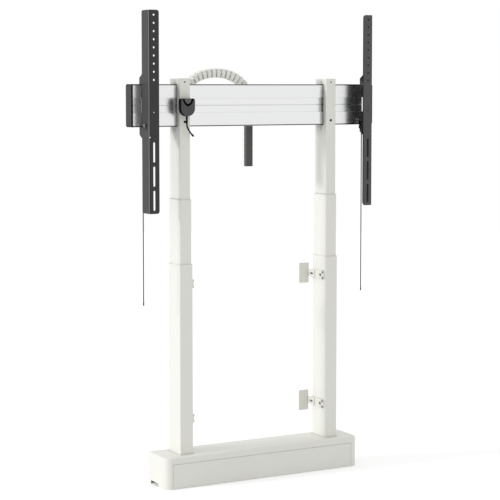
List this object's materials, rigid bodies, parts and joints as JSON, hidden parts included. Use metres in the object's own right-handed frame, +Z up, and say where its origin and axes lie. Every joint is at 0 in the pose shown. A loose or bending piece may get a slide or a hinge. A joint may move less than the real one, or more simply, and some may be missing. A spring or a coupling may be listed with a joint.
{
  "type": "tv lift mechanism",
  "caption": "Floor-standing motorised lift: twin telescopic columns on a slim base carry a crossbar with slotted display strips, wall brackets, handset and cable spine.",
  "frame": {"origin": "on the floor, midway between the two columns, in the plane of the column centres", "axes": "+X along the crossbar to the right seen from the front, +Y back towards the wall, +Z up"},
  "size_m": [0.892, 0.1408, 1.507],
  "materials": {
    "white_steel": "white powder coat, satin",
    "white_plastic": "white moulded plastic",
    "nylon": "off-white moulded nylon",
    "bare_steel": "zinc-plated steel",
    "cast_alloy": "die-cast alloy",
    "motor_black": "black enamelled steel can",
    "bar_alloy": "clear-anodised extrusion, fine brushed",
    "black_steel": "black powder-coated steel",
    "grey_plastic": "dark grey moulded plastic",
    "rocker_grey": "mid-grey moulded plastic",
    "black_rubber": "black flexible lead",
    "pull_cord": "grey braided cord",
    "zinc_steel": "warm grey coated steel"
  },
  "bodies": {
    "base": {"base_plate": "bare_steel", "base_cover": "white_steel", "front_panel": "white_steel", "base_screws": "bare_steel", "control_box": "grey_plastic", "left_gearbox": "cast_alloy", "right_gearbox": "cast_alloy", "left_motor": "motor_black", "right_motor": "motor_black", "left_outer_tube": "white_steel", "right_outer_tube": "white_steel", "left_outer_collar": "nylon", "right_outer_collar": "nylon", "upper_left_wall_arm": "zinc_steel", "lower_left_wall_arm": "zinc_steel", "upper_right_wall_arm": "zinc_steel", "lower_right_wall_arm": "zinc_steel", "wall_arm_screws": "bare_steel"},
    "carriage": {"left_inner_tube": "white_steel", "right_inner_tube": "white_steel", "left_inner_nut": "nylon", "right_inner_nut": "nylon", "left_head_cap": "white_plastic", "right_head_cap": "white_plastic", "crossbar": "bar_alloy", "left_end_cap": "grey_plastic", "right_end_cap": "grey_plastic", "bar_clamp_screws": "black_steel", "handset_clip": "grey_plastic", "handset_body": "grey_plastic", "handset_lead": "black_rubber", "lead_plug": "black_rubber", "cable_spine": "white_plastic", "spine_clip": "grey_plastic", "cable_holder": "black_steel"},
    "handset_rocker": {"handset_rocker": "rocker_grey"},
    "left_mid_stage": {"left_mid_tube": "white_steel", "left_mid_collar": "nylon", "left_mid_nut": "nylon"},
    "left_drive_spindle": {"left_drive_spindle": "bare_steel"},
    "left_hollow_spindle": {"left_hollow_spindle": "bare_steel"},
    "left_strip": {"left_strip": "black_steel", "left_latch_bolt": "bare_steel"},
    "left_latch": {"left_latch": "black_steel"},
    "left_pull_cord": {"left_pull_cord": "pull_cord"},
    "right_mid_stage": {"right_mid_tube": "white_steel", "right_mid_collar": "nylon", "right_mid_nut": "nylon"},
    "right_drive_spindle": {"right_drive_spindle": "bare_steel"},
    "right_hollow_spindle": {"right_hollow_spindle": "bare_steel"},
    "right_strip": {"right_strip": "black_steel", "right_latch_bolt": "bare_steel"},
    "right_latch": {"right_latch": "black_steel"},
    "right_pull_cord": {"right_pull_cord": "pull_cord"},
    "upper_left_wall_plate": {"upper_left_wall_plate": "zinc_steel"},
    "upper_right_wall_plate": {"upper_right_wall_plate": "zinc_steel"},
    "lower_left_wall_plate": {"lower_left_wall_plate": "zinc_steel"},
    "lower_right_wall_plate": {"lower_right_wall_plate": "zinc_steel"}
  },
  "joints": [
    {"name": "lift", "type": "slide", "parent": "base", "child": "carriage", "axis": [0, 0, 1], "range_m": [-0.4, 0.26]},
    {"name": "left_mid_lift", "type": "slide", "parent": "base", "child": "left_mid_stage", "axis": [0, 0, 1], "range_m": [-0.2, 0.13]},
    {"name": "left_drive_turn", "type": "hinge", "parent": "base", "child": "left_drive_spindle", "pos_m": [-0.27, 0, 0.041], "axis": [0, 0, 1], "continuous": true},
    {"name": "left_hollow_turn", "type": "hinge", "parent": "left_mid_stage", "child": "left_hollow_spindle", "pos_m": [-0.27, 0, 0.29], "axis": [0, 0, 1], "continuous": true},
    {"name": "left_strip_slide", "type": "slide", "parent": "carriage", "child": "left_strip", "axis": [-1, 0, 0], "range_m": [-0.08, 0.028]},
    {"name": "left_latch_pivot", "type": "hinge", "parent": "left_strip", "child": "left_latch", "pos_m": [-0.4045, -0.035, 1.15], "axis": [1, 0, 0], "range_deg": [-18, 0], "stiffness_Nm_per_rad": 0.1, "springref_deg": 17.19},
    {"name": "left_cord_pull", "type": "slide", "parent": "left_strip", "child": "left_pull_cord", "axis": [0, 0, 1], "range_m": [-0.0095, 0.0001]},
    {"name": "right_mid_lift", "type": "slide", "parent": "base", "child": "right_mid_stage", "axis": [0, 0, 1], "range_m": [-0.2, 0.13]},
    {"name": "right_drive_turn", "type": "hinge", "parent": "base", "child": "right_drive_spindle", "pos_m": [0.27, 0, 0.041], "axis": [0, 0, 1], "continuous": true},
    {"name": "right_hollow_turn", "type": "hinge", "parent": "right_mid_stage", "child": "right_hollow_spindle", "pos_m": [0.27, 0, 0.29], "axis": [0, 0, 1], "continuous": true},
    {"name": "right_strip_slide", "type": "slide", "parent": "carriage", "child": "right_strip", "axis": [1, 0, 0], "range_m": [-0.08, 0.028]},
    {"name": "right_latch_pivot", "type": "hinge", "parent": "right_strip", "child": "right_latch", "pos_m": [0.4045, -0.035, 1.15], "axis": [1, 0, 0], "range_deg": [-18, 0], "stiffness_Nm_per_rad": 0.1, "springref_deg": 17.19},
    {"name": "right_cord_pull", "type": "slide", "parent": "right_strip", "child": "right_pull_cord", "axis": [0, 0, 1], "range_m": [-0.0095, 0.0001]},
    {"name": "upper_left_wall_plate_slide", "type": "slide", "parent": "base", "child": "upper_left_wall_plate", "axis": [0, 1, 0], "range_m": [-0.01, 0.011]},
    {"name": "upper_right_wall_plate_slide", "type": "slide", "parent": "base", "child": "upper_right_wall_plate", "axis": [0, 1, 0], "range_m": [-0.01, 0.011]},
    {"name": "lower_left_wall_plate_slide", "type": "slide", "parent": "base", "child": "lower_left_wall_plate", "axis": [0, 1, 0], "range_m": [-0.01, 0.011]},
    {"name": "lower_right_wall_plate_slide", "type": "slide", "parent": "base", "child": "lower_right_wall_plate", "axis": [0, 1, 0], "range_m": [-0.01, 0.011]},
    {"name": "rocker_tilt", "type": "hinge", "parent": "carriage", "child": "handset_rocker", "pos_m": [-0.27, -0.0561, 1.227], "axis": [1, 0, 0], "range_deg": [-5, 5], "stiffness_Nm_per_rad": 0.05}
  ],
  "couplings": [
    {"joint": "left_mid_lift", "follows": "lift", "ratio": 0.5},
    {"joint": "left_drive_turn", "follows": "lift", "rad_per_m": 314.16},
    {"joint": "left_hollow_turn", "follows": "lift", "rad_per_m": 314.16},
    {"joint": "left_cord_pull", "follows": "left_latch_pivot", "m_per_rad": 0.029},
    {"joint": "right_mid_lift", "follows": "lift", "ratio": 0.5},
    {"joint": "right_drive_turn", "follows": "lift", "rad_per_m": 314.16},
    {"joint": "right_hollow_turn", "follows": "lift", "rad_per_m": 314.16},
    {"joint": "right_cord_pull", "follows": "right_latch_pivot", "m_per_rad": 0.029}
  ]
}
